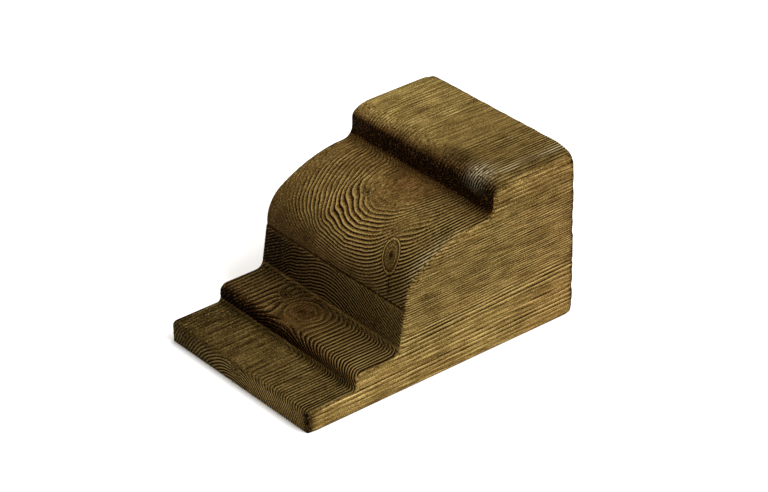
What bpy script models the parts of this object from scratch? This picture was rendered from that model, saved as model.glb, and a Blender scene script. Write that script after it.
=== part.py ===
"""Timber-look corbel cast in one piece of rigid polyurethane foam.

It lies on its long flat back, the face that is glued up. X runs from the thin front lip to the
tall end, Y across the width and Z away from the back. The origin is the middle of the back.

The form is one outline in the X-Z plane, drawn across the whole width: a thin lip, a second
step, a leaning neck, a swell of two arcs and the tall end block. Towards each side the outline
is drawn in, so that the arrises are rounded by as much as they are worn.
"""

import math
from collections import namedtuple

import bmesh
import bpy
from mathutils import Vector

# Driving dimensions, in metres
WIDTH = 0.120

LIP_RISE = 0.0125            # thickness of the thin front lip
LIP_RUN = 0.0324             # tread of the lip, up to the first riser
STEP_RISE = 0.0102           # first riser
STEP_RUN = 0.0290            # tread of the second step, up to the foot of the neck
NECK_RISE = 0.0252           # height of the leaning neck
NECK_LEAN = 0.0044           # how far the neck leans back over that height
JOINT_LEDGE = 0.0005         # ledge left where the swell sits back on the neck
SWELL_SHANK = 0.0018         # upright foot of the swell, before it turns over
SWELL_BROW = 0.0225          # radius of its steep front
SWELL_BROW_TURN = 58.5       # degrees that the steep front turns through
SWELL_BACK = 0.0900          # radius of its long back, which ends level
SWELL_FLAT = 0.0032          # level run from there to the riser of the end block
BLOCK_RISE = 0.0188          # end block, above the top of the swell
BLOCK_RUN = 0.0578           # end block, from its riser to the tall end

# Roundings of the outline, as radii
LIP_NOSE = 0.0030
LIP_FILLET = 0.0022
STEP_NOSE = 0.0048
NECK_FILLET = 0.0045
BLOCK_FILLET = 0.0065
BLOCK_NOSE_RUN = 0.0140      # worn nose of the end block, along its top
BLOCK_NOSE_DROP = 0.0070     # the same nose, down its riser

# Rounded arrises along the -Y side
STEP_ARRIS = 0.0022          # lip, step and neck
SWELL_ARRIS = 0.0055
BLOCK_ARRIS = 0.0016         # riser of the end block
NEAR_TOP_RUN = 0.0145        # worn top edge of the end block, across its top
NEAR_TOP_DROP = 0.0090       # the same edge, down its side

# Less worn arrises along the +Y side, and up the tall end on both sides
FAR_ARRIS = 0.0009
FAR_TOP_RUN = 0.0020         # the top edge of the end block
FAR_TOP_DROP = 0.0016
TALL_ARRIS = 0.0006

# Facets
CORNER_STEPS = 6
BROW_STEPS = 14
BACK_STEPS = 18
ARRIS_STEPS = 6
SHARP_TURN = math.radians(40)   # a corner that turns by more than this is not a rounded one

# Levels and stations that follow from the sizes above
STEP_TOP = LIP_RISE + STEP_RISE
NECK_TOP = STEP_TOP + NECK_RISE
NECK_FOOT = LIP_RUN + STEP_RUN
NECK_HEAD = NECK_FOOT + NECK_LEAN
SWELL_FOOT = NECK_HEAD + JOINT_LEDGE
BROW_TURN = math.radians(SWELL_BROW_TURN)
BROW_TOP = NECK_TOP + SWELL_SHANK + SWELL_BROW * math.sin(BROW_TURN)
SWELL_TOP = BROW_TOP + SWELL_BACK * (1 - math.sin(BROW_TURN))
SWELL_END = SWELL_FOOT + SWELL_BROW * (1 - math.cos(BROW_TURN)) + SWELL_BACK * math.cos(BROW_TURN)
BLOCK_FRONT = SWELL_END + SWELL_FLAT
HEIGHT = SWELL_TOP + BLOCK_RISE
LENGTH = BLOCK_FRONT + BLOCK_RUN

FOAM_BROWN = (0.115, 0.078, 0.030, 1.0)

# A point of the outline, with the arris of the line that leaves it on the -Y and on the +Y side.
# An arris is a vector: how far it reaches across the width, and how far down from the line.
Station = namedtuple("Station", "point near far")


def arc(centre, radius, start, end, steps):
    """Points of a circle's arc between two angles, in radians from +X towards +Z."""
    angles = [start + (end - start) * i / steps for i in range(steps + 1)]
    return [centre + radius * Vector((math.cos(angle), math.sin(angle))) for angle in angles]


def rounded_corner(before, corner, after, reach_in, reach_out):
    """Points of a conic that leaves one line and meets the next: a circle where both reaches match."""
    arriving = (corner - before).normalized()
    leaving = (after - corner).normalized()
    start = corner - arriving * reach_in
    end = corner + leaving * reach_out
    pull = math.cos(arriving.angle(leaving) / 2)
    points = []
    for i in range(CORNER_STEPS + 1):
        t = i / CORNER_STEPS
        weights = ((1 - t) ** 2, 2 * pull * t * (1 - t), t ** 2)
        points.append((start * weights[0] + corner * weights[1] + end * weights[2]) / sum(weights))
    return points


def rounded(before, corner, after, radius):
    """Points of a circular rounding of that radius."""
    reach = radius * math.tan((corner - before).angle(after - corner) / 2)
    return rounded_corner(before, corner, after, reach, reach)


def swell_back():
    """The long back of the swell, from the fillet at the end block to where the brow begins."""
    centre = Vector((SWELL_END, SWELL_TOP - SWELL_BACK))
    points = arc(centre, SWELL_BACK, math.pi / 2, math.pi - BROW_TURN, BACK_STEPS)
    facet = SWELL_BACK * BROW_TURN / BACK_STEPS / 2
    return [point for point in points if point.x < BLOCK_FRONT - BLOCK_FILLET - facet]


def swell_brow():
    """The steep front of the swell, down to its upright shank."""
    centre = Vector((SWELL_FOOT + SWELL_BROW, NECK_TOP + SWELL_SHANK))
    return arc(centre, SWELL_BROW, math.pi - BROW_TURN, math.pi, BROW_STEPS)[1:]


def eased(points, first, last):
    """Stations along a stretch whose arrises change evenly; first and last are (near, far) pairs."""
    stations = []
    for i, point in enumerate(points):
        share = i / max(len(points) - 1, 1)
        near, far = (a.lerp(b, share) for a, b in zip(first, last))
        stations.append(Station(point, near, far))
    return stations


def outline():
    """Stations of the whole outline, up the tall end, over the top and down to the lip's foot."""
    tall_foot = Vector((LENGTH, 0))
    tall_shoulder = Vector((LENGTH, HEIGHT - 2 * max(NEAR_TOP_DROP, FAR_TOP_DROP)))
    tall_head = Vector((LENGTH, HEIGHT))
    block_nose = Vector((BLOCK_FRONT, HEIGHT))
    block_foot = Vector((BLOCK_FRONT, SWELL_TOP))
    neck_head = Vector((NECK_HEAD, NECK_TOP))
    neck_foot = Vector((NECK_FOOT, STEP_TOP))
    step_nose = Vector((LIP_RUN, STEP_TOP))
    step_foot = Vector((LIP_RUN, LIP_RISE))
    lip_nose = Vector((0, LIP_RISE))
    lip_foot = Vector((0, 0))
    back = swell_back()

    far = Vector((FAR_ARRIS, FAR_ARRIS))
    none = (Vector((0, 0)),) * 2
    tall = (Vector((TALL_ARRIS, TALL_ARRIS)),) * 2
    top = (Vector((NEAR_TOP_RUN, NEAR_TOP_DROP)), Vector((FAR_TOP_RUN, FAR_TOP_DROP)))
    block = (Vector((BLOCK_ARRIS, BLOCK_ARRIS)), far)
    swell = (Vector((SWELL_ARRIS, SWELL_ARRIS)), far)
    step = (Vector((STEP_ARRIS, STEP_ARRIS)), far)

    nose = rounded_corner(tall_head, block_nose, block_foot, BLOCK_NOSE_RUN, BLOCK_NOSE_DROP)
    steps = (
        [Vector((SWELL_FOOT, NECK_TOP)), neck_head]
        + rounded(neck_head, neck_foot, step_nose, NECK_FILLET)
        + rounded(neck_foot, step_nose, step_foot, STEP_NOSE)
        + rounded(step_nose, step_foot, lip_nose, LIP_FILLET)
        + rounded(step_foot, lip_nose, lip_foot, LIP_NOSE)
    )
    return (
        eased([tall_foot, tall_shoulder], tall, tall)
        + eased([tall_head], top, top)
        + eased(nose, top, block)
        + eased(rounded(block_nose, block_foot, back[0], BLOCK_FILLET), block, swell)
        + eased(back, swell, swell)
        + eased(swell_brow(), swell, step)
        + eased(steps, step, step)
        + eased([lip_foot], none, none)
    )


def inward(start, end):
    """Unit normal of a line of the outline, pointing into the solid."""
    along = (end - start).normalized()
    return Vector((-along.y, along.x))


def drawn_in(before, here, after, arriving, leaving):
    """How far a point moves when the two lines that meet there move in by their own distances."""
    first = inward(before, here)
    second = inward(here, after)
    if first.angle(second) < SHARP_TURN:
        middle = (first + second).normalized()
        return middle * (arriving + leaving) / 2 / middle.dot(first)
    cross = first.x * second.y - first.y * second.x
    return Vector((
        (arriving * second.y - leaving * first.y) / cross,
        (leaving * first.x - arriving * second.x) / cross,
    ))


def section(stations, side, turn):
    """The outline near one side (-1 or 1), where its arrises have turned that far down to the side."""
    points = []
    for i, station in enumerate(stations):
        previous = stations[i - 1]
        following = stations[(i + 1) % len(stations)]
        arriving = previous.near if side < 0 else previous.far
        leaving = station.near if side < 0 else station.far
        across = max(arriving.x, leaving.x) * (1 - math.sin(turn))
        pull = drawn_in(previous.point, station.point, following.point, arriving.y, leaving.y)
        point = station.point + pull * (1 - math.cos(turn))
        points.append(Vector((point.x - LENGTH / 2, side * (WIDTH / 2 - across), point.y)))
    return points


def corbel_mesh():
    """A loft through the sections, closed by the two flat sides."""
    stations = outline()
    turns = [math.pi / 2 * i / ARRIS_STEPS for i in range(ARRIS_STEPS + 1)]
    near = [section(stations, -1, turn) for turn in reversed(turns)]
    far = [section(stations, 1, turn) for turn in turns]

    bm = bmesh.new()
    rings = [[bm.verts.new(point) for point in points] for points in near + far]
    for ring, following in zip(rings, rings[1:]):
        for i in range(len(ring)):
            bm.faces.new((ring[i], ring[i - 1], following[i - 1], following[i]))
    bm.faces.new(rings[0])
    bm.faces.new(reversed(rings[-1]))
    mesh = bpy.data.meshes.new("corbel")
    bm.to_mesh(mesh)
    bm.free()
    mesh.shade_smooth()
    mesh.set_sharp_from_angle(angle=SHARP_TURN)
    return mesh


def polyurethane():
    """Brown stained rigid foam with a satin skin."""
    material = bpy.data.materials.new("polyurethane")
    material.use_nodes = True
    shader = material.node_tree.nodes["Principled BSDF"]
    shader.inputs["Base Color"].default_value = FOAM_BROWN
    shader.inputs["Roughness"].default_value = 0.6
    shader.inputs["Metallic"].default_value = 0.0
    material.diffuse_color = FOAM_BROWN
    return material


def main():
    for old in list(bpy.data.objects):
        bpy.data.objects.remove(old)
    parts = bpy.data.collections.new("corbel")
    bpy.context.scene.collection.children.link(parts)
    corbel = bpy.data.objects.new("corbel", corbel_mesh())
    corbel.data.materials.append(polyurethane())
    parts.objects.link(corbel)


main()
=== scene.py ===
"""Looks of the timber-look polyurethane corbel: its moulded grain, stain and worn edges.

The solid gives the form. A finer skin is wrapped onto it, the growth rings of the two boards that
the master was glued up from are pressed into the skin, and the same rings drive the stain.
Lengths are in metres, in the frame's own axes: X to the tall end, Y across, Z up from the back.
"""

import itertools
import math
from collections import namedtuple

import bmesh
import bpy
import numpy as np
from mathutils import Matrix, Vector
from mathutils.bvhtree import BVHTree
from mathutils.geometry import delaunay_2d_cdt


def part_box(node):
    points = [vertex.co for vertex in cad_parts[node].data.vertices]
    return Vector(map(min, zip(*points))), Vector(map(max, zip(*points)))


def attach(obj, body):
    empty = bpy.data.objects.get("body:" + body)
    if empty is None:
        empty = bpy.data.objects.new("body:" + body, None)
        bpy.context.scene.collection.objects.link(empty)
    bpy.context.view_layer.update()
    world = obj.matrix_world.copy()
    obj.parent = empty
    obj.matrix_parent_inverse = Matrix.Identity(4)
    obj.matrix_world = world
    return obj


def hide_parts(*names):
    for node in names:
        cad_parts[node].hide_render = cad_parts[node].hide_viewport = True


# Camera, as it stood for the photograph
LENS = 137.6
SENSOR = 36.0
CAMERA_AZIMUTH = math.radians(-38.65)
CAMERA_ELEVATION = math.radians(30.657)
CAMERA_ROLL = math.radians(-1.145)
CAMERA_DISTANCE = 1.584
AIM = Vector((0.00335, -0.00616, 0.05209))

# Levels and stations of the form
JOINT_HEIGHT = 0.0479            # where the two boards of the master were glued together
BLOCK_TOP = 0.10095
NECK_FOOT_HEIGHT = 0.0240
STEP_TOP = 0.0227
LIP_TOP = 0.0125
TALL_END = 0.0925
NEAR_SIDE, FAR_SIDE = -0.0600, 0.0600
FLAT_SLACK = 0.0001

# Facets of the skin: how many across, and their lengths along the outline and on the flat faces
COLUMNS = 224
TOP_STEP = 0.0021
TREAD_STEP = 0.0010
FINE_STEP = 0.00062
TALL_END_STEP = 0.0022
NEAR_SIDE_GRID = (0.0024, 0.00047)
FAR_SIDE_GRID = (0.0050, 0.0010)
BASE_GRID = (0.0060, 0.0060)
SHARP_TURN = math.radians(40)
MERGE = 1e-6
OFF_THE_FACE = -1.0              # distance down the moulded face of a vertex that isn't on it


# Outline and skin

def outline_of(solid):
    """The solid's outline half way across: points (x, z) up the tall end and over to the lip's foot."""
    bm = bmesh.new()
    bm.from_mesh(solid.data)
    bmesh.ops.remove_doubles(bm, verts=bm.verts, dist=MERGE)
    everything = bm.verts[:] + bm.edges[:] + bm.faces[:]
    cut = bmesh.ops.bisect_plane(bm, geom=everything, plane_co=(0, 0, 0), plane_no=(0, 1, 0))
    links = {}
    for edge in cut["geom_cut"]:
        if isinstance(edge, bmesh.types.BMEdge):
            for vert in edge.verts:
                links.setdefault(vert, []).append(edge.other_vert(vert))
    here = max(links, key=lambda vert: vert.co.x - vert.co.z)
    lip_foot = min(links, key=lambda vert: vert.co.x + vert.co.z)
    walk = [here]
    here = max(links[here], key=lambda vert: vert.co.z)
    while here != lip_foot:
        walk.append(here)
        here = next(vert for vert in links[here] if vert != walk[-2])
    walk.append(lip_foot)
    points = np.array([(vert.co.x, vert.co.z) for vert in walk])
    bm.free()
    return points


def skin_step(point, head):
    """Length of the skin's facets along the outline at a point of it."""
    x, z = point
    if x > head[0] - FLAT_SLACK:
        return TALL_END_STEP
    if z > head[1] - FLAT_SLACK:
        return TOP_STEP
    if abs(z - STEP_TOP) < FLAT_SLACK or abs(z - LIP_TOP) < FLAT_SLACK:
        return TREAD_STEP
    return FINE_STEP


def respaced(outline):
    """The outline with the skin's own spacing, its sharp corners kept."""
    head = outline.max(0)
    runs = np.diff(outline, axis=0)
    headings = np.arctan2(runs[:, 1], runs[:, 0])
    turns = np.abs((np.diff(headings) + math.pi) % math.tau - math.pi)
    corners = [0] + [i + 1 for i, turn in enumerate(turns) if turn > SHARP_TURN] + [len(outline) - 1]
    stations = [outline[:1]]
    for start, end in zip(corners, corners[1:]):
        stretch = outline[start:end + 1]
        lengths = np.hypot(*np.diff(stretch, axis=0).T)
        middles = (stretch[1:] + stretch[:-1]) / 2
        facets = lengths / [skin_step(middle, head) for middle in middles]
        along = np.concatenate([[0], np.cumsum(facets)])
        count = max(round(along[-1]), 1)
        wanted = np.linspace(0, along[-1], count + 1)[1:]
        stations.append(np.stack([np.interp(wanted, along, stretch[:, k]) for k in (0, 1)], -1))
    return np.concatenate(stations)


def filled(boundary, grid):
    """Inner points and triangles that fill a closed flat boundary, on a grid of that mesh size."""
    scale = np.array(grid)
    rim = boundary / scale
    low, high = rim.min(0), rim.max(0)
    columns = np.arange(low[0] + 0.5, high[0], 1.0)
    rows = np.arange(low[1] + 0.5, high[1], 1.0)
    mesh = np.stack(np.meshgrid(columns, rows), -1)
    mesh[1::2, :, 0] += 0.5
    inner = mesh.reshape(-1, 2)
    inner = inner[inside(inner, rim)]
    inner = inner[clear_of(inner, rim)]
    points = np.concatenate([rim, inner])
    edges = [(i, (i + 1) % len(rim)) for i in range(len(rim))]
    coordinates = [Vector(point) for point in points]
    _, _, faces, sources, _, _ = delaunay_2d_cdt(coordinates, edges, [], 1, MERGE)
    return inner * scale, [[sources[vert][0] for vert in face] for face in faces]


def inside(points, rim):
    """Which points lie inside a closed rim."""
    crossings = np.zeros(len(points), bool)
    x, y = points.T
    for (x0, y0), (x1, y1) in zip(rim, np.roll(rim, -1, axis=0)):
        if y0 != y1:
            spans = (y0 > y) != (y1 > y)
            crossings ^= spans & (x < x0 + (x1 - x0) * (y - y0) / (y1 - y0))
    return crossings


def clear_of(points, rim):
    """Which points keep at least half a mesh away from the rim's own points and lines."""
    far = np.ones(len(points), bool)
    for start, end in zip(rim, np.roll(rim, -1, axis=0)):
        run = end - start
        share = np.clip((points - start) @ run / max(run @ run, 1e-12), 0, 1)
        nearest = start + share[:, None] * run
        far &= np.hypot(*(points - nearest).T) > 0.5
    return far


class Skin:
    """Vertices and faces of the fine skin, as they are gathered."""

    def __init__(self):
        self.points = []
        self.along = []
        self.faces = []

    def add(self, points, along=OFF_THE_FACE):
        """Adds points that lie that far down the moulded face, and returns their numbers."""
        start = len(self.points)
        self.points.extend(points)
        self.along.extend([along] * len(points))
        return list(range(start, len(self.points)))

    def fill(self, rim, flat, lift, grid, flip):
        """Fills a rim of known vertices; flat gives their place in the plane and lift the way back."""
        inner, faces = filled(flat, grid)
        names = rim + self.add([lift(point) for point in inner])
        for face in faces:
            order = reversed(face) if flip else face
            self.faces.append([names[i] for i in order])


def corbel_skin(solid):
    """A closed fine mesh of the outline carried straight across the corbel."""
    low, high = (np.array(corner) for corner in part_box("corbel"))
    outline = respaced(outline_of(solid))
    across = np.linspace(low[1], high[1], COLUMNS + 1)
    skin = Skin()
    along = np.concatenate([[0], np.cumsum(np.hypot(*np.diff(outline, axis=0).T))]) - high[2]
    rows = [skin.add([(x, y, z) for y in across], s) for (x, z), s in zip(outline, along)]
    for row, following in zip(rows, rows[1:]):
        for i in range(COLUMNS):
            skin.faces.append([row[i], row[i + 1], following[i + 1], following[i]])

    base_x = np.arange(low[0] + BASE_GRID[0], high[0] - BASE_GRID[0] / 2, BASE_GRID[0])
    feet = []
    for y, side, grid in ((low[1], 0, NEAR_SIDE_GRID), (high[1], -1, FAR_SIDE_GRID)):
        foot = skin.add([(x, y, low[2]) for x in base_x])
        feet.append(foot)
        rim = [row[side] for row in rows] + foot
        flat = np.array([(skin.points[i][0], skin.points[i][2]) for i in rim])
        skin.fill(rim, flat, lambda point: (point[0], y, point[1]), grid, flip=side == -1)
    rim = rows[-1][::-1] + feet[0] + rows[0] + feet[1][::-1]
    flat = np.array([skin.points[i][:2] for i in rim])
    skin.fill(rim, flat, lambda point: (point[0], point[1], low[2]), BASE_GRID, flip=True)
    return skin


def wrapped(points, solid):
    """Points moved to the nearest place on the solid, so that they take up its rounded arrises."""
    solid.data.calc_loop_triangles()
    verts = [vert.co for vert in solid.data.vertices]
    tree = BVHTree.FromPolygons(verts, [tuple(tri.vertices) for tri in solid.data.loop_triangles])
    moved = np.array([tree.find_nearest(Vector(point))[0] for point in points])
    base = points[:, 2] < MERGE
    moved[base, 2] = 0
    return moved


# Noise

# Whole numbers that scramble a cell into a random value
CELL_MIX = np.array([374761393, 668265263, 1274126177])
SEED_MIX = 974634777
FIRST_MIX = 1103515245
SECOND_MIX = 668265263
LOW_32_BITS = 0xFFFFFFFF
LOW_16_BITS = 0xFFFF

# Uneven places of the casting: by how much, the size of the lumps along each axis, and the seed
Lumps = namedtuple("Lumps", "amount size seed")
UPPER_WAVER = Lumps(0.00075, (0.060, 0.016, 0.016), 3)
UPPER_JITTER = Lumps(0.00026, (0.010, 0.0040, 0.0040), 4)
LOWER_WAVER = Lumps(0.0010, (0.060, 0.018, 0.018), 5)
LOWER_JITTER = Lumps(0.0004, (0.010, 0.0045, 0.0045), 6)
SIDE_WAVER = Lumps(0.0014, (0.070, 0.05, 0.02), 7)
SIDE_JITTER = Lumps(0.0003, (0.025, 0.05, 0.006), 8)
DEPTH_PATCHES = Lumps(0.35, (0.02, 0.008, 0.008), 9)
TONE_PATCHES = Lumps(0.14, (0.03, 0.012, 0.012), 10)
ROW_WAVER = Lumps(0.0003, (0.01, 0.006, 0.01), 16)
LINE_PATCHES = Lumps(0.45, (0.009, 0.005, 0.005), 17)
LONG_STREAKS = Lumps(0.50, (0.300, 0.1, 0.0075), 18)
THIN_STREAKS = Lumps(0.30, (0.060, 0.1, 0.0030), 13)
SHORT_STREAKS = Lumps(0.25, (0.022, 0.1, 0.0018), 20)
REDNESS_PATCHES = Lumps(0.035, (0.02, 0.009, 0.009), 19)
STAINED_EDGE = Lumps(0.0008, (0.004, 0.004, 0.0016), 21)
WORN_EDGE = Lumps(0.5, (0.004, 0.0035, 0.004), 22)
NOSE_MOTTLE = Lumps(0.12, (0.004, 0.004, 0.003), 23)
EYE_SHAPE = Lumps(0.28, (0.008, 0.006, 0.006), 24)
EDGE_NICKS = Lumps(2.0, (0.004, 0.004, 0.0030), 25)


def lattice(cells, seed):
    """A repeatable random value from -1 to 1 for each whole-number cell."""
    mixed = cells @ CELL_MIX + seed * SEED_MIX
    mixed = ((mixed ^ (mixed >> 13)) * FIRST_MIX) & LOW_32_BITS
    mixed = ((mixed ^ (mixed >> 15)) * SECOND_MIX) & LOW_32_BITS
    return ((mixed ^ (mixed >> 16)) & LOW_16_BITS) / (LOW_16_BITS / 2) - 1


def uneven(points, lumps):
    """Smooth noise, up to the amount of those lumps both ways."""
    scaled = points / np.array(lumps.size)
    cell = np.floor(scaled).astype(np.int64)
    share = scaled - cell
    share = share * share * (3 - 2 * share)
    total = np.zeros(len(points))
    for corner in itertools.product((0, 1), repeat=3):
        weight = np.where(corner, share, 1 - share).prod(-1)
        total += weight * lattice(cell + corner, lumps.seed)
    return lumps.amount * total


def ramp(value, start, end):
    """0 at the start, 1 at the end, smooth between."""
    share = np.clip((value - start) / (end - start), 0, 1)
    return share * share * (3 - 2 * share)


def bump(value, centre, width):
    """1 at the centre, falling away over that width."""
    return np.exp(-((value - centre) / width) ** 2)


# Grain of the master's boards

UPPER_PITH = (-0.0050, 0.1180)       # y and z of the upper board's pith, above the corbel
UPPER_RING = 0.00168                 # width of its growth rings
LOWER_PITH = (0.0050, -0.0150)       # y and z of the lower board's pith, below the corbel
LOWER_RING = 0.0018
NECK_RING = 0.0019                   # height of its rings up the neck, where they arch over
NECK_CROWN = 0.0035                  # the place across the neck that they arch over
NECK_CURVE = 0.0165                  # how broad the arch is at its crown
NECK_SLOPE = 0.58                    # how steeply it runs down to both sides
NECK_DIP = 0.8                       # a dip in the arches, in rings, and its place across
NECK_DIP_PLACE = 0.0360
FAR_STRETCH = 0.87                   # the rings grew wider on the far side
RING_PEAK = 0.72                     # where a ring stands highest, from its inner to its outer edge

# A knot: its middle, as a distance down the moulded face from the tall end's head and a place
# across it, its half length and half width, how far its long axis leans from down the face, and
# by how many rings it makes the grain bow
Knot = namedtuple("Knot", "along across half_length half_width lean bow")
SWELL_KNOT = Knot(0.1240, -0.0367, 0.0108, 0.0050, math.radians(-37), 1.1)
SWELL_PIN = Knot(0.1000, 0.0095, 0.0026, 0.0037, 0.0, 0.4)
STEP_PIN = Knot(0.1797, 0.0275, 0.0034, 0.0050, 0.0, 0.8)
STEP_EYE = Knot(0.1838, 0.0080, 0.0060, 0.0100, 0.0, -2.7)
LIP_PIN = Knot(0.2433, 0.0033, 0.0026, 0.0040, 0.0, 1.0)
UPPER_KNOTS = (SWELL_KNOT, SWELL_PIN)
LOWER_KNOTS = (STEP_PIN, LIP_PIN)    # the eye is no knot: nothing is cut through there
FAR_FROM_KNOTS = 2.0
BOW_REACH = 1.5                      # how far out from a knot the grain bows, 1 being its rim
EYE_REACH = 1.2

# A soft spot: its middle, as a place across and a place along X or a distance down the moulded
# face, and how far it reaches both ways
Spot = namedtuple("Spot", "across along half_width half_length")
SWELL_KINK = Spot(-0.0307, 0.0010, 0.0066, 0.0135)      # along X
PLAIN_PATCH = Spot(-0.0010, 0.0850, 0.0190, 0.0200)
FAINT_LINES = Spot(-0.0290, 0.1040, 0.0080, 0.0110)
SMUDGE = Spot(-0.0225, 0.0505, 0.0110, 0.0065)
RED_SPOT = Spot(0.0, 0.0800, 0.020, 0.0120)
# The patch on the end block's nose, near side, is rubbed pale and painted with a highlight
RUBBED_AND_GLINT_PATCH = Spot(-0.0430, 0.0415, 0.0070, 0.0062)    # along X
RUBBED_ARRIS = Spot(-0.0570, 0.1130, 0.0045, 0.0150)

KINK_PULL = 0.0040                   # how far the kink pulls the rings across
CROWDED_RING = 22.5                  # the ring round which they crowd at the top of the swell,
CROWD = 2.6                          # by how many more rings to each side,
CROWD_REACH = 4.0                    # and within how many
SWELL_DIP = 0.65                     # a dip in the arcs on the swell, in rings, and its place across
SWELL_DIP_PLACE = 0.0190
SIDE_TILT = 0.02                     # how much the grain rises along the sides
SIDE_PITCHES = [                     # heights up the sides, and how far apart the rings are there
    (-0.010, 0.00290), (0.029, 0.00270), (0.034, 0.00145),
    (0.076, 0.00145), (0.082, 0.00220), (0.120, 0.00240),
]


def knot_reach(knot, y, along):
    """Distance out from a knot's middle, 1 at its rim."""
    down = along - knot.along
    over = y - knot.across
    length = down * math.cos(knot.lean) + over * math.sin(knot.lean)
    width = over * math.cos(knot.lean) - down * math.sin(knot.lean)
    return np.hypot(length / knot.half_length, width / knot.half_width)


def bowed(rings, knots, y, along):
    """The ring count with the bows that the knots make."""
    for knot in knots:
        rings = rings + knot.bow * bump(knot_reach(knot, y, along), 0, BOW_REACH)
    return rings


def in_spot(spot, y, along):
    """1 in the middle of a soft spot, falling away to 0 round it."""
    return bump(y, spot.across, spot.half_width) * bump(along, spot.along, spot.half_length)


def rings_from(over, up, width):
    """How many growth rings out from the pith a place lies, that far across and up from it."""
    return np.hypot(np.where(over > 0, over * FAR_STRETCH, over), up) / width


def upper_grain(points, along):
    """Ring count through the upper board, with the kink and the knots that the swell shows."""
    x, y, z = points.T
    pull = KINK_PULL * in_spot(SWELL_KINK, y, x) * ramp(z, 0.098, 0.088)
    # On the end block the rings run straight down from its top
    straight = ramp(z, 0.0860, 0.0940)
    level = z + (BLOCK_TOP - z) * straight
    wobble = uneven(points, UPPER_WAVER) + uneven(points, UPPER_JITTER)
    rings = rings_from(y - pull + wobble - UPPER_PITH[0], level - wobble - UPPER_PITH[1], UPPER_RING)
    rings += CROWD * (1 - straight) * np.tanh((rings - CROWDED_RING) / CROWD_REACH)
    on_swell = ramp(z, 0.0815, 0.0775) * ramp(z, 0.052, 0.060)
    rings -= SWELL_DIP * bump(y, SWELL_DIP_PLACE, 0.0055) * on_swell
    return bowed(rings, UPPER_KNOTS, y, along)


def lower_grain(points, along):
    """Ring count through the lower board, with its knots and the eye on the step."""
    _, y, z = points.T
    wobble = uneven(points, LOWER_WAVER) + uneven(points, LOWER_JITTER)
    rings = rings_from(y + wobble - LOWER_PITH[0], z - LOWER_PITH[1], LOWER_RING)
    neck = (z + wobble + NECK_SLOPE * np.hypot(y - NECK_CROWN, NECK_CURVE)) / NECK_RING
    neck -= NECK_DIP * bump(y, NECK_DIP_PLACE, 0.0050)
    rings = np.where(z > NECK_FOOT_HEIGHT, neck, rings)
    eye = knot_reach(STEP_EYE, y, along) + uneven(points, EYE_SHAPE)
    rings = rings + STEP_EYE.bow * bump(eye, 0, EYE_REACH)
    return bowed(rings, LOWER_KNOTS, y, along)


def cut_across(points, normals):
    """How squarely the surface cuts the rings: 0 where it runs along one, 1 where it cuts straight in."""
    _, y, z = points.T
    above = z > JOINT_HEIGHT
    over = y - np.where(above, UPPER_PITH[0], LOWER_PITH[0])
    up = z - np.where(above, UPPER_PITH[1], LOWER_PITH[1])
    along_ring = (over * normals[:, 1] + up * normals[:, 2]) / np.hypot(over, up)
    return np.sqrt(np.clip(1 - along_ring ** 2, 0, 1))


def side_grain(points):
    """Ring count up the sides, where the boards were cut along the grain."""
    x, _, z = points.T
    height = z - SIDE_TILT * x + uneven(points, SIDE_WAVER) + uneven(points, SIDE_JITTER)
    levels, pitches = np.array(SIDE_PITCHES).T
    middles = (pitches[1:] + pitches[:-1]) / 2
    rings = np.concatenate([[0], np.cumsum(np.diff(levels) / middles)])
    return np.interp(height, levels, rings)
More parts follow.
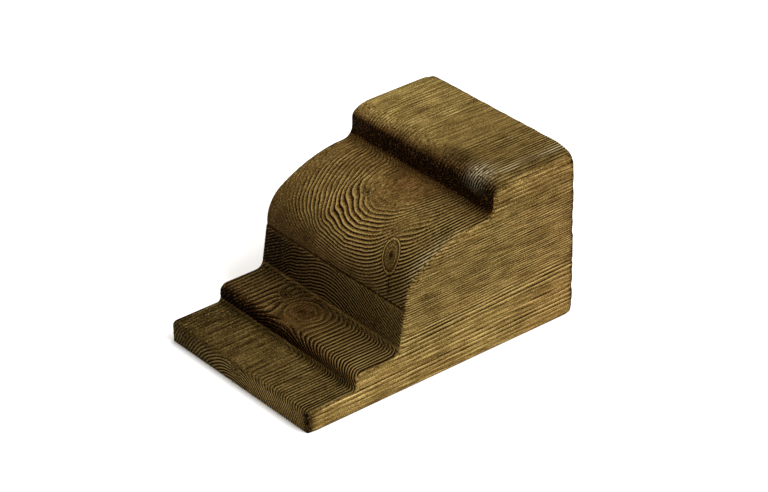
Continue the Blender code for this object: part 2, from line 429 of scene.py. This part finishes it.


# The moulded face, by distance down it from the tall end's head: how much gold the stain leaves,
# how strongly the ring lines show and how red the stain is, each at the far side, in the middle
# and at the near side. The gold also holds painted light and shade: painted shade on the risers,
# painted highlights on the fillets, and a change from far to near side that is partly painted light
FACE = [
    (0.0000, (0.94, 0.88, 0.56), (0.35, 0.30, 0.75), (-0.04, 0.00, -0.01)),    # top of the end block
    (0.0440, (1.05, 0.90, 0.52), (0.40, 0.25, 0.60), (-0.04, 0.00, -0.01)),
    (0.0520, (1.05, 0.78, 0.44), (0.50, 0.30, 0.50), (0.00, 0.02, 0.02)),      # its nose
    # Down the nose into the riser the gold is dark stain and painted shade: the riser faces away from the
    # lights, in the hollow under the nose
    (0.0570, (0.60, 0.26, 0.08), (0.60, 0.40, 0.60), (0.05, 0.15, 0.15)),
    (0.0600, (0.07, 0.05, 0.05), (0.80, 0.80, 0.80), (0.25, 0.25, 0.25)),      # its riser
    (0.0700, (0.06, 0.05, 0.05), (0.50, 0.50, 0.50), (0.25, 0.25, 0.25)),
    # Just below the riser's foot the swell is painted darker on the near side: painted shade cast down from
    # the riser
    (0.0708, (0.40, 0.34, 0.16), (0.40, 0.20, 0.60), (0.15, 0.15, 0.15)),      # swell
    (0.0745, (0.48, 0.50, 0.34), (0.80, 0.30, 1.10), (0.08, 0.08, 0.05)),
    (0.0900, (0.58, 0.72, 0.64), (1.00, 0.45, 1.25), (0.06, 0.05, 0.00)),
    (0.1100, (0.62, 0.75, 0.68), (1.15, 1.00, 1.00), (0.06, 0.06, 0.01)),
    (0.1220, (0.52, 0.70, 0.54), (1.00, 1.50, 1.50), (0.06, 0.06, 0.03)),
    (0.1330, (0.42, 0.62, 0.38), (0.50, 1.50, 1.70), (0.06, 0.06, 0.04)),
    (0.1420, (0.35, 0.42, 0.34), (0.30, 1.20, 1.60), (0.09, 0.09, 0.05)),
    (0.1466, (0.33, 0.36, 0.34), (0.30, 0.70, 1.00), (0.09, 0.09, 0.05)),
    (0.1470, (0.10, 0.10, 0.10), (0.00, 0.00, 0.00), (0.10, 0.10, 0.05)),      # joint
    (0.1478, (0.10, 0.10, 0.10), (0.00, 0.00, 0.00), (0.10, 0.10, 0.05)),
    (0.1486, (0.28, 0.50, 0.50), (0.60, 0.60, 0.20), (0.15, 0.10, 0.02)),      # neck
    (0.1510, (0.06, 0.30, 0.36), (2.10, 2.40, 0.90), (0.10, 0.08, 0.01)),
    (0.1680, (0.06, 0.27, 0.33), (2.10, 2.40, 0.90), (0.10, 0.08, 0.01)),
    (0.1690, (0.08, 0.30, 0.34), (0.40, 0.40, 0.00), (0.15, 0.10, 0.05)),
    # The bright line on the fillet at the neck's foot is a painted highlight
    (0.1700, (0.70, 1.10, 0.90), (0.00, 0.00, 0.00), (0.12, 0.08, 0.05)),      # step
    (0.1712, (0.19, 0.31, 0.46), (1.20, 0.60, 1.50), (0.04, 0.09, 0.02)),
    (0.1950, (0.20, 0.33, 0.54), (1.40, 0.70, 1.70), (0.04, 0.08, 0.02)),
    # The step's riser is dark stain and painted shade, painted lighter towards the near side where the
    # light falls
    (0.2000, (0.03, 0.09, 0.50), (1.80, 1.60, 2.00), (0.25, 0.20, 0.08)),
    (0.2066, (0.00, 0.04, 0.42), (1.80, 1.80, 2.00), (0.35, 0.30, 0.12)),
    # The bright line on the fillet at the riser's foot is a painted highlight
    (0.2075, (0.80, 1.20, 0.60), (0.10, 0.10, 1.20), (0.10, 0.08, 0.00)),      # lip
    (0.2084, (0.19, 0.39, 0.38), (0.40, 0.30, 1.10), (-0.07, -0.01, -0.02)),
    (0.2400, (0.19, 0.39, 0.38), (0.50, 0.25, 1.10), (-0.07, -0.01, -0.02)),
    (0.2430, (0.18, 0.64, 0.71), (1.10, 1.50, 1.40), (-0.03, 0.03, 0.05)),
    (0.2520, (0.18, 0.64, 0.71), (1.10, 1.50, 1.30), (-0.03, 0.03, 0.05)),
]

# What the columns of the table hold, after the distance, and the places across that each is given for
GOLD, LINES, REDNESS = 1, 2, 3
FAR, MIDDLE, NEAR = 0.048, 0.0, -0.048

STRONGEST_LINE = 2.4
SIDE_TONE = 0.94
SIDE_REDNESS = 0.02
END_TONE = ([0.0, 0.024, 0.050, 0.100], [0.45, 0.45, 0.70, 0.84])    # heights up the tall end, and tones
END_REDNESS = 0.03

# Depths of the relief and of the wear
FACE_DEPTH = 0.00036
SIDE_EASE = 0.00012
WORN_REACH = (0.0010, 0.0028)        # the grain fades where an edge is rounded in by this much
FOOT_BAND = 0.0012
CORNER_WEAR = 0.0012
FOOT_WEAR = 0.0009
EDGE_WEAR = 0.0003
NICK_DEPTH = 0.0004


def laid_on_face(column, y, along):
    """One column of the table for the moulded face, read at each vertex."""
    places = [row[0] for row in FACE]
    far, middle, near = ([row[column][k] for row in FACE] for k in range(3))
    far, middle, near = (np.interp(along, places, values) for values in (far, middle, near))
    to_far = np.clip(y / (FAR - MIDDLE), 0, 1)
    to_near = np.clip(y / (NEAR - MIDDLE), 0, 1)
    return middle + (far - middle) * to_far + (near - middle) * to_near


def wavering(points, along):
    """Distance down the face, a little uneven, so that its bands don't end in ruled lines."""
    return along + uneven(points, ROW_WAVER)


def on_the_side(normals):
    """How far each vertex faces a side."""
    return ramp(np.abs(normals[:, 1]), 0.50, 0.85)


def ring_count(points, normals, along):
    """Growth rings counted at each vertex; it jumps only where no line is drawn."""
    upper = upper_grain(points, along)
    lower = lower_grain(points, along)
    face = np.where(points[:, 2] > JOINT_HEIGHT, upper, lower)
    return np.where(on_the_side(normals) > 0.5, side_grain(points), face)


def face_lines(points, normals, along):
    """How strongly the ring lines show on the moulded face."""
    _, y, z = points.T
    lines = laid_on_face(LINES, y, wavering(points, along))
    lines = lines * (0.05 + 0.95 * ramp(cut_across(points, normals), 0.12, 0.46))
    over = (y - PLAIN_PATCH.across) / PLAIN_PATCH.half_width
    down = (along - PLAIN_PATCH.along) / PLAIN_PATCH.half_length
    lines = lines * (1 - 0.65 * ramp(np.hypot(over, down), 1.20, 0.80))
    lines = lines + 0.3 * bump(knot_reach(STEP_EYE, y, along), 1.2, 0.5)
    # A strip along the upper board's far edge, and the end block right under its pith, are plainer
    lines = lines * (1 - 0.85 * ramp(y, 0.0410, 0.0510) * ramp(z, 0.048, 0.050))
    lines = lines * (1 - 0.90 * bump(y, UPPER_PITH[0], 0.0110) * ramp(z, 0.085, 0.088))
    lines = lines * (1 - 0.65 * in_spot(FAINT_LINES, y, along))
    return lines * (0.9 + uneven(points, LINE_PATCHES))


def side_lines(points):
    """How strongly the ring lines show on the sides, where they come in bundles of streaks."""
    x, _, z = points.T
    streaks = sum(uneven(points, lumps) for lumps in (LONG_STREAKS, THIN_STREAKS, SHORT_STREAKS))
    lines = np.clip(0.55 + streaks, 0.08, 1.2) * (1 - 0.6 * ramp(z, 0.013, 0.004))
    return lines * (1 - 0.35 * ramp(z, 0.070, 0.085)) * (1 - 0.25 * ramp(x, -0.020, -0.070))


def line_strength(points, normals, along):
    """How strongly the ring lines show at each vertex: 1 is full height, and more is for the stain only."""
    face = face_lines(points, normals, along)
    side = side_lines(points)
    cheek = on_the_side(normals)
    strength = (face + (side - face) * cheek) * np.clip(np.abs(cheek - 0.5) * 6, 0, 1)
    return np.clip(strength, 0, STRONGEST_LINE)


def nearest_knot(points, along):
    """Distance out from the nearest cut knot at each vertex, 1 at its rim."""
    reaches = [knot_reach(knot, points[:, 1], along) for knot in UPPER_KNOTS + LOWER_KNOTS]
    return np.minimum(np.min(reaches, axis=0), FAR_FROM_KNOTS)


def grain_height(rings, strength, reach):
    """Height of the moulded grain at each vertex, 0 to 1."""
    height = 0.5 + 0.5 * np.minimum(strength, 1) * np.cos(math.tau * (rings - RING_PEAK))
    inner = 0.25 + 0.20 * np.cos(math.tau * reach * 2) + 0.3 * reach
    height = height + (inner - height) * ramp(reach, 1.10, 0.95)
    return np.maximum(height, bump(reach, 1.0, 0.10))


def depth_of(points, normals, drawn_in):
    """How deep the grain is pressed in: less on the sides and the worn edges, and nothing at the foot."""
    depth = FACE_DEPTH - SIDE_EASE * on_the_side(normals)
    depth = depth * (0.85 + uneven(points, DEPTH_PATCHES))
    return depth * (1 - 0.85 * ramp(drawn_in, *WORN_REACH)) * ramp(points[:, 2], 0.0, FOOT_BAND)


def wear_of(points):
    """How far the edges and corners of the tall end are worn in at each vertex."""
    x, y, z = points.T
    top_edge = np.hypot(x - TALL_END, z - BLOCK_TOP)
    near_edge = np.hypot(x - TALL_END, y - NEAR_SIDE)
    far_corner = np.hypot(top_edge, y - FAR_SIDE)
    near_foot = np.hypot(near_edge, z)
    worn = CORNER_WEAR * bump(far_corner, 0, 0.0032) + FOOT_WEAR * bump(near_foot, 0, 0.0026)
    ragged = 0.5 + uneven(points, WORN_EDGE)
    nicks = np.clip(uneven(points, EDGE_NICKS), 0, 1)
    worn = worn + EDGE_WEAR * ragged * bump(top_edge, 0, 0.0020)
    return worn + NICK_DEPTH * nicks * bump(near_edge, 0, 0.0012)


def face_tone(points, along):
    """How much of the gold the stain leaves on the moulded face, with the table's painted shade and painted
    highlights.
    """
    y = points[:, 1]
    tone = laid_on_face(GOLD, y, wavering(points, along))
    nose = bump(along, 0.0570, 0.0060)
    tone = tone * (1 + nose * uneven(points, NOSE_MOTTLE))
    tone = tone * (1 - 0.72 * in_spot(SMUDGE, y, along))
    tone = tone * (1 - 0.65 * bump(knot_reach(STEP_EYE, y, along), 0, 0.50))
    # A dark fringe at the near end of the step
    fringe = bump(y, -0.0590, 0.0016) * ramp(along, 0.1695, 0.1720) * ramp(along, 0.2010, 0.1960)
    tone = tone * (1 - 0.55 * fringe)
    # The crack below the large knot
    crack = bump(y + 0.0433 + 0.25 * (along - 0.1333), 0, 0.0009)
    return tone * (1 - 0.75 * crack * ramp(along, 0.1300, 0.1340) * ramp(along, 0.1460, 0.1420))


def side_tone(points):
    """How much of the gold the stain leaves on the sides: more at the foot and towards the lip."""
    x, _, z = points.T
    tone = SIDE_TONE * (1 + 0.28 * ramp(z, 0.042, 0.016) + 0.08 * ramp(z, 0.070, 0.085))
    return tone * (1 + 0.14 * ramp(x, -0.020, -0.070))


def tone_of(points, normals, along):
    """How much of the gold the stain leaves at each vertex, with painted shade and painted highlights
    worked in.
    """
    x, y, z = points.T
    end = np.interp(z, *END_TONE)
    tone = np.where(along > 0, face_tone(points, along), end)
    cheek = on_the_side(normals)
    tone = tone + (side_tone(points) - tone) * cheek
    # Dark edges up the tall end and round the near corner of the lip
    ragged = uneven(points, STAINED_EDGE)
    tone = tone * (1 - 0.85 * ramp(x + ragged, 0.0903, 0.0915) * cheek)
    lip_corner = np.hypot(x + 0.0918, y + 0.0593) + ragged
    tone = tone * (1 - 0.96 * bump(lip_corner, 0, 0.0042) * ramp(z, 0.0125, 0.0105))
    return tone * (1 + uneven(points, TONE_PATCHES))


def rub_and_glint_of(points, along):
    """How far each vertex is rubbed pale, partly as a painted highlight: the near top edge and the swell's
    near arris.
    """
    x, y, z = points.T
    # The near top edge of the end block: a pale rubbed line and a painted highlight
    ridge = 0.40 * bump(y, -0.0500, 0.0022) * ramp(x, 0.0450, 0.0520)
    top = (in_spot(RUBBED_AND_GLINT_PATCH, y, x) + ridge) * ramp(z, 0.088, 0.095)    # on the end block only
    return np.clip(top + 0.26 * in_spot(RUBBED_ARRIS, y, along), 0, 1)


def redness_of(points, normals, along):
    """How red the stain is at each vertex."""
    x, y, _ = points.T
    red = np.where(along > 0, laid_on_face(REDNESS, y, along), END_REDNESS)
    red = red + 0.08 * in_spot(RED_SPOT, y, along)
    red = red + 0.10 * bump(knot_reach(STEP_EYE, y, along), 0, EYE_REACH)
    side = SIDE_REDNESS + 0.06 * ramp(x, 0.040, 0.085)
    red = red + (side - red) * on_the_side(normals)
    return red + uneven(points, REDNESS_PATCHES)


# Materials

class Socket:
    """A shader value that can be written into an expression."""

    def __init__(self, tree, socket):
        self.tree = tree
        self.socket = socket

    def math(self, operation, other, swap=False):
        """This value and another, taken the other way round for a swap."""
        values = (other, self) if swap else (self, other)
        return self.tree.node("ShaderNodeMath", {"operation": operation}, values)

    def __add__(self, other):
        return self.math("ADD", other)

    def __radd__(self, other):
        return self.math("ADD", other, swap=True)

    def __sub__(self, other):
        return self.math("SUBTRACT", other)

    def __rsub__(self, other):
        return self.math("SUBTRACT", other, swap=True)

    def __mul__(self, other):
        return self.math("MULTIPLY", other)

    def __rmul__(self, other):
        return self.math("MULTIPLY", other, swap=True)

    def __pow__(self, other):
        return self.math("POWER", other)

    def __rpow__(self, other):
        return self.math("POWER", other, swap=True)


class Nodes:
    """The node tree of one material."""

    def __init__(self, material):
        self.tree = material.node_tree

    def node(self, kind, settings=None, values=(), output=0):
        """A node of that type. Values are for its sockets, in order or by name, as numbers or links."""
        made = self.tree.nodes.new(kind)
        for name, setting in (settings or {}).items():
            if name == "stops":
                self.set_stops(made.color_ramp, setting)
            else:
                setattr(made, name, setting)
        named = values.items() if isinstance(values, dict) else enumerate(values)
        for place, value in named:
            if isinstance(value, Socket):
                self.tree.links.new(value.socket, made.inputs[place])
            else:
                made.inputs[place].default_value = value
        return Socket(self, made.outputs[output])

    @staticmethod
    def set_stops(color_ramp, stops):
        """Gives a colour ramp those places and colours."""
        while len(color_ramp.elements) < len(stops):
            color_ramp.elements.new(1.0)
        for element, (place, colour) in zip(color_ramp.elements, stops):
            element.position = place
            element.color = (*colour, 1.0)

    def attribute(self, name):
        """A value that the mesh carries at its vertices."""
        return self.node("ShaderNodeAttribute", {"attribute_name": name}, output=2)

    def mixed(self, share, first, second):
        """One colour at share 0, the other at share 1."""
        settings = {"data_type": "RGBA"}
        return self.node("ShaderNodeMix", settings, {0: share, 6: first, 7: second}, output=2)

    def clamped(self, value):
        return self.node("ShaderNodeClamp", {}, [value])

    def tinted(self, first, second):
        """Two colours multiplied."""
        settings = {"data_type": "RGBA", "blend_type": "MULTIPLY"}
        return self.node("ShaderNodeMix", settings, {0: 1.0, 6: first, 7: second}, output=2)


VALLEY_BROWN = (0.008, 0.0042, 0.0007)
HALF_WAY = (0.154, 0.0975, 0.0260)
CREST_GOLD = (0.472, 0.342, 0.122)
# Pale colour of the rubbed places, used also for painted highlights: glints of light on the ridges
RUBBED_PALE_AND_GLINT = (0.54, 0.48, 0.31, 1.0)
GREEN_FADE = 1.07                # green and blue fade a little faster than red as the gold goes
BLUE_FADE = 1.16

# Height across a growth ring, from its inner to its outer edge: a slow rise and a steep fall
RING_PROFILE = [
    (0.00, 0.00), (0.12, 0.12), (0.30, 0.42), (0.52, 0.62),
    (RING_PEAK, 1.00), (0.84, 0.75), (0.93, 0.02),
]
# Height out from a knot's middle to twice its rim
KNOT_PROFILE = [
    (0.00, 0.02), (0.10, 0.12), (0.18, 0.55), (0.24, 0.25), (0.32, 0.62), (0.37, 0.30),
    (0.40, 0.40), (0.44, 0.00), (0.50, 1.00), (0.56, 0.00), (0.62, 0.45),
]


def greys(profile):
    """Stops of a colour ramp that gives plain values."""
    return [(place, (value, value, value)) for place, value in profile]


def stained_foam():
    """Brown stained foam, wiped back to gold on the raised grain, with fine fibres along X; its colour also
    carries painted shade, painted highlights and painted glints.
    """
    material = bpy.data.materials.new("stained_foam")
    material.use_nodes = True
    nodes = Nodes(material)
    shader = material.node_tree.nodes["Principled BSDF"]
    tone = nodes.attribute("tone")
    reach = nodes.attribute("knot")
    place = nodes.node("ShaderNodeTexCoord", output=3)
    long_lumps = {"Vector": place, "Scale": (60, 1900, 1900)}
    stretched = nodes.node("ShaderNodeMapping", {"vector_type": "POINT"}, long_lumps)
    fibre = nodes.node("ShaderNodeTexNoise", {}, {"Vector": stretched, "Scale": 1.0, "Detail": 2.0})
    blotch = nodes.node("ShaderNodeTexNoise", {}, {"Vector": place, "Scale": 90.0, "Detail": 3.0})
    speck = nodes.node("ShaderNodeTexNoise", {}, {"Vector": place, "Scale": 1500.0, "Detail": 1.0})

    place_in_ring = nodes.attribute("rings").math("FRACT", 0.0)
    ring = nodes.node("ShaderNodeValToRGB", {"stops": greys(RING_PROFILE)}, [place_in_ring])
    lines = 0.5 + (ring - 0.5) * nodes.attribute("lines")
    knot = nodes.node("ShaderNodeValToRGB", {"stops": greys(KNOT_PROFILE)}, [reach * 0.5])
    in_knot = nodes.clamped((1.18 - reach) * 12.0)
    height = lines + (knot - lines) * in_knot

    # How gold: the raised grain first, then the fibres, the specks and the blotches
    gold = height - 0.06 + (fibre - 0.5) * 1.4 + (speck - 0.5) * 1.1 + (blotch - 0.5) * 0.4
    stops = [(0.0, VALLEY_BROWN), (0.5, HALF_WAY), (1.0, CREST_GOLD)]
    stained = nodes.node("ShaderNodeValToRGB", {"stops": stops}, [gold])
    # Specks of gold that stay in the dark places
    spark = nodes.clamped((speck - 0.60) * 9.0)
    left = tone + spark * nodes.clamped(0.5 - tone)
    red = nodes.attribute("red")
    green_left = left ** GREEN_FADE * (1.0 - red)
    blue_left = left ** BLUE_FADE * (1.0 - red)
    shade = nodes.node("ShaderNodeCombineColor", {}, [left, green_left, blue_left])
    # Where the stain is rubbed off, and where glints are painted on as painted highlights, along the tops
    # of the fibres and the ridges
    bare_and_glint = nodes.clamped(nodes.attribute("rub") * ((height - 0.45) * 2.2 + (fibre - 0.5) * 4.0))
    colour = nodes.mixed(bare_and_glint, nodes.tinted(stained, shade), RUBBED_PALE_AND_GLINT)
    nodes.tree.links.new(colour.socket, shader.inputs["Base Color"])
    rough = 0.72 - height * 0.16
    nodes.tree.links.new(rough.socket, shader.inputs["Roughness"])
    fine = height + fibre * 0.6 + speck * 0.8
    relief = nodes.node("ShaderNodeBump", {}, {"Strength": 0.7, "Distance": 0.00030, "Height": fine})
    nodes.tree.links.new(relief.socket, shader.inputs["Normal"])
    shader.inputs["Specular IOR Level"].default_value = 0.01
    return material


def corbel(solid):
    """The corbel as it looks: the fine skin on the solid, with the grain pressed into it."""
    skin = corbel_skin(solid)
    mesh = bpy.data.meshes.new("corbel_skin")
    mesh.from_pydata(wrapped(np.array(skin.points), solid).tolist(), [], skin.faces)
    mesh.update()
    count = len(mesh.vertices)
    points = np.empty(count * 3)
    normals = np.empty(count * 3)
    mesh.vertices.foreach_get("co", points)
    mesh.vertices.foreach_get("normal", normals)
    points = points.reshape(-1, 3)
    normals = normals.reshape(-1, 3)
    along = np.array(skin.along)
    looks = {
        "rings": ring_count(points, normals, along),
        "lines": line_strength(points, normals, along),
        "knot": nearest_knot(points, along),
        "tone": tone_of(points, normals, along),
        "rub": rub_and_glint_of(points, along),
        "red": redness_of(points, normals, along),
    }
    height = grain_height(looks["rings"], looks["lines"], looks["knot"])
    drawn_in = np.linalg.norm(points - np.array(skin.points), axis=1)
    sink = depth_of(points, normals, drawn_in) * (1 - height) + wear_of(points)
    pressed = np.clip(points - normals * sink[:, None], *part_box("corbel"))
    mesh.vertices.foreach_set("co", pressed.ravel())
    for name, values in looks.items():
        mesh.attributes.new(name, "FLOAT", "POINT").data.foreach_set("value", values)
    mesh.materials.append(stained_foam())
    mesh.shade_smooth()
    mesh.update()
    piece = bpy.data.objects.new("corbel_skin", mesh)
    bpy.context.scene.collection.objects.link(piece)
    return piece


# Studio

def camera():
    """The photo's camera, aimed at the corbel."""
    turn = Matrix.Rotation(CAMERA_AZIMUTH, 3, "Z")
    tilt = Matrix.Rotation(math.pi / 2 - CAMERA_ELEVATION, 3, "X")
    rotation = turn @ tilt @ Matrix.Rotation(CAMERA_ROLL, 3, "Z")
    data = bpy.data.cameras.new("camera")
    data.lens = LENS
    data.sensor_width = SENSOR
    data.sensor_fit = "HORIZONTAL"
    made = bpy.data.objects.new("camera", data)
    made.location = AIM + rotation.col[2] * CAMERA_DISTANCE
    made.rotation_euler = rotation.to_euler()
    bpy.context.scene.collection.objects.link(made)
    bpy.context.scene.camera = made


FLOOR_SIZE = 12.0
FLOOR_DROP = 0.0002
FLOOR_WHITE = (0.97, 0.97, 0.97, 1.0)
SKY_WHITE = (1, 0.96, 0.90, 1)
SKY_STRENGTH = 0.45


def floor():
    """A white floor that the corbel lies on."""
    bpy.ops.mesh.primitive_plane_add(size=FLOOR_SIZE, location=(0, 0, -FLOOR_DROP))
    made = bpy.context.active_object
    made.name = "floor"
    material = bpy.data.materials.new("floor_white")
    material.use_nodes = True
    shader = material.node_tree.nodes["Principled BSDF"]
    shader.inputs["Base Color"].default_value = FLOOR_WHITE
    shader.inputs["Roughness"].default_value = 0.9
    shader.inputs["Specular IOR Level"].default_value = 0.1
    made.data.materials.append(material)


def sun(name, azimuth, elevation, strength, softness):
    """A distant lamp; its angles and its softness are in degrees."""
    data = bpy.data.lights.new(name, "SUN")
    data.energy = strength
    data.angle = math.radians(softness)
    made = bpy.data.objects.new(name, data)
    made.rotation_euler = (math.radians(90 - elevation), 0, math.radians(azimuth))
    bpy.context.scene.collection.objects.link(made)


def studio():
    """A soft sky and two suns."""
    world = bpy.data.worlds.new("studio")
    world.use_nodes = True
    background = world.node_tree.nodes["Background"]
    background.inputs["Color"].default_value = SKY_WHITE
    background.inputs["Strength"].default_value = SKY_STRENGTH
    bpy.context.scene.world = world
    sun("key", azimuth=20, elevation=48, strength=2.5, softness=30)
    sun("overhead", azimuth=90, elevation=72, strength=1.8, softness=50)
    bpy.context.scene.view_settings.view_transform = "Standard"


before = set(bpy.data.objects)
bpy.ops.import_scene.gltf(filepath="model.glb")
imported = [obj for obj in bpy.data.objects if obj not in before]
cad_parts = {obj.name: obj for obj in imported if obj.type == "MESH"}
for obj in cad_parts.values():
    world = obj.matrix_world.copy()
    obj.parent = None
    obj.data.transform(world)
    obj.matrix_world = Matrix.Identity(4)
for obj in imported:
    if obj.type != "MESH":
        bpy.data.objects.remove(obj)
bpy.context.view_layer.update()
camera()
floor()
studio()
piece = corbel(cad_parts["corbel"])
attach(piece, "root")
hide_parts("corbel")
